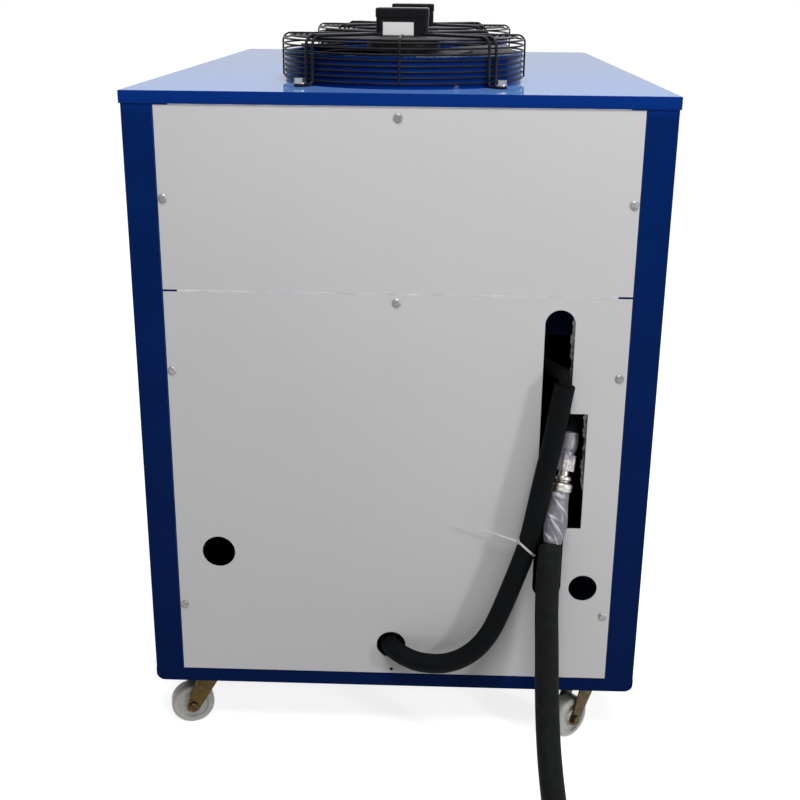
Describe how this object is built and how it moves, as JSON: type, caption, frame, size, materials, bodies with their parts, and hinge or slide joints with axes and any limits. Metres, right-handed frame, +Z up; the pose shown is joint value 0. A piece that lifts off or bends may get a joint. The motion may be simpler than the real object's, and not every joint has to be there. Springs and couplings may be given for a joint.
{
  "type": "industrial water chiller",
  "caption": "Box-shaped air-cooled water chiller on casters, with guarded axial fans in its lid, louvred side inlets, a slotted hose panel and foam-covered hoses.",
  "frame": {"origin": "on the floor, under the middle of the chiller's box without its hoses", "axes": "+Z up; the hose panel faces -Y; +X is to the right when looking at the hose panel"},
  "size_m": [0.7052, 1.6902, 1.038],
  "materials": {
    "blue_paint": "glossy blue enamel",
    "panel_paint": "satin pale grey powder coat",
    "zinc": "bright zinc plate",
    "yellow_zinc": "yellow passivated zinc plate",
    "black_wire": "black powder coat",
    "black_plastic": "matte black",
    "motor_grey": "satin black paint",
    "white_plate": "bare white sheet",
    "white_nylon": "moulded white nylon",
    "foam": "closed-cell foam tube skin",
    "hose_rubber": "bare hose",
    "film": "clear wound film",
    "brass": "machined brass",
    "cast_grey": "cast and machined",
    "tie_white": "nylon tie",
    "foil": "creased foil tape",
    "copper": "drawn copper",
    "fin_aluminium": "folded fins",
    "tank_steel": "folded stainless sheet",
    "shell_black": "black enamel",
    "galvanised": "galvanised sheet"
  },
  "bodies": {
    "cabinet": {"base_tray": "blue_paint", "bolts": "zinc", "cable_tie": "tie_white", "caster_plates": "yellow_zinc", "compressor": "shell_black", "condenser_left": "fin_aluminium", "condenser_right": "fin_aluminium", "controller": "black_plastic", "cross_rails": "galvanised", "electric_box": "galvanised", "fan_collar_front": "blue_paint", "fan_collar_rear": "blue_paint", "fan_guard_front": "black_wire", "fan_guard_rear": "black_wire", "fan_motor_front": "motor_grey", "fan_motor_rear": "motor_grey", "film_wrap": "film", "foil_strip": "foil", "front_lower_panel": "panel_paint", "front_posts": "blue_paint", "front_upper_panel": "panel_paint", "hose_clamp": "zinc", "hose_end_fitting": "brass", "hose_nipple": "brass", "hose_tail": "hose_rubber", "inlet_grille_left": "panel_paint", "inlet_grille_right": "panel_paint", "lid": "blue_paint", "loop_hose": "foam", "mid_shelf": "galvanised", "outlet_hose": "foam", "outlet_hose_coil": "foam", "panel_screws": "zinc", "rating_plates": "white_plate", "rear_lower_panel": "panel_paint", "rear_posts": "blue_paint", "rear_upper_panel": "panel_paint", "receiver": "shell_black", "refrigerant_pipes": "copper", "side_panel_left": "panel_paint", "side_panel_right": "panel_paint", "supply_coupling": "cast_grey", "terminal_box_front": "black_plastic", "terminal_box_rear": "black_plastic", "terminal_lid_front": "black_plastic", "terminal_lid_rear": "black_plastic", "water_pipes": "foam", "water_pump": "motor_grey", "water_tank": "tank_steel"},
    "fan_rear": {"fan_rotor_rear": "motor_grey"},
    "fan_front": {"fan_rotor_front": "motor_grey"},
    "fork_rear_left": {"caster_fork_rear_left": "yellow_zinc"},
    "wheel_rear_left": {"caster_wheel_rear_left": "white_nylon"},
    "fork_rear_right": {"caster_fork_rear_right": "yellow_zinc"},
    "wheel_rear_right": {"caster_wheel_rear_right": "white_nylon"},
    "fork_front_left": {"caster_fork_front_left": "yellow_zinc"},
    "wheel_front_left": {"caster_wheel_front_left": "white_nylon"},
    "fork_front_right": {"caster_fork_front_right": "yellow_zinc"},
    "wheel_front_right": {"caster_wheel_front_right": "white_nylon"},
    "switch_knob": {"main_switch": "black_plastic"}
  },
  "joints": [
    {"name": "fan_spin_rear", "type": "hinge", "parent": "cabinet", "child": "fan_rear", "pos_m": [-0.0005, -0.3307, 0.965], "axis": [0, 0, 1], "continuous": true},
    {"name": "fan_spin_front", "type": "hinge", "parent": "cabinet", "child": "fan_front", "pos_m": [0.003, 0.1403, 0.965], "axis": [0, 0, 1], "continuous": true},
    {"name": "swivel_rear_left", "type": "hinge", "parent": "cabinet", "child": "fork_rear_left", "pos_m": [-0.281, -0.5027, 0.08], "axis": [0, 0, 1], "continuous": true},
    {"name": "roll_rear_left", "type": "hinge", "parent": "fork_rear_left", "child": "wheel_rear_left", "pos_m": [-0.30708, -0.50969, 0.032], "axis": [0.2588, -0.9659, 0], "continuous": true},
    {"name": "swivel_rear_right", "type": "hinge", "parent": "cabinet", "child": "fork_rear_right", "pos_m": [0.281, -0.5027, 0.08], "axis": [0, 0, 1], "continuous": true},
    {"name": "roll_rear_right", "type": "hinge", "parent": "fork_rear_right", "child": "wheel_rear_right", "pos_m": [0.26093, -0.52077, 0.032], "axis": [0.6691, -0.7431, 0], "continuous": true},
    {"name": "swivel_front_left", "type": "hinge", "parent": "cabinet", "child": "fork_front_left", "pos_m": [-0.281, 0.4853, 0.08], "axis": [0, 0, 1], "continuous": true},
    {"name": "roll_front_left", "type": "hinge", "parent": "fork_front_left", "child": "wheel_front_left", "pos_m": [-0.30637, 0.49454, 0.032], "axis": [-0.342, -0.9397, 0], "continuous": true},
    {"name": "swivel_front_right", "type": "hinge", "parent": "cabinet", "child": "fork_front_right", "pos_m": [0.281, 0.4853, 0.08], "axis": [0, 0, 1], "continuous": true},
    {"name": "roll_front_right", "type": "hinge", "parent": "fork_front_right", "child": "wheel_front_right", "pos_m": [0.25653, 0.47389, 0.032], "axis": [0.4226, -0.9063, 0], "continuous": true},
    {"name": "switch_turn", "type": "hinge", "parent": "cabinet", "child": "switch_knob", "pos_m": [0.14, 0.5363, 0.807], "axis": [0, 1, 0], "range_deg": [0, 90]}
  ]
}
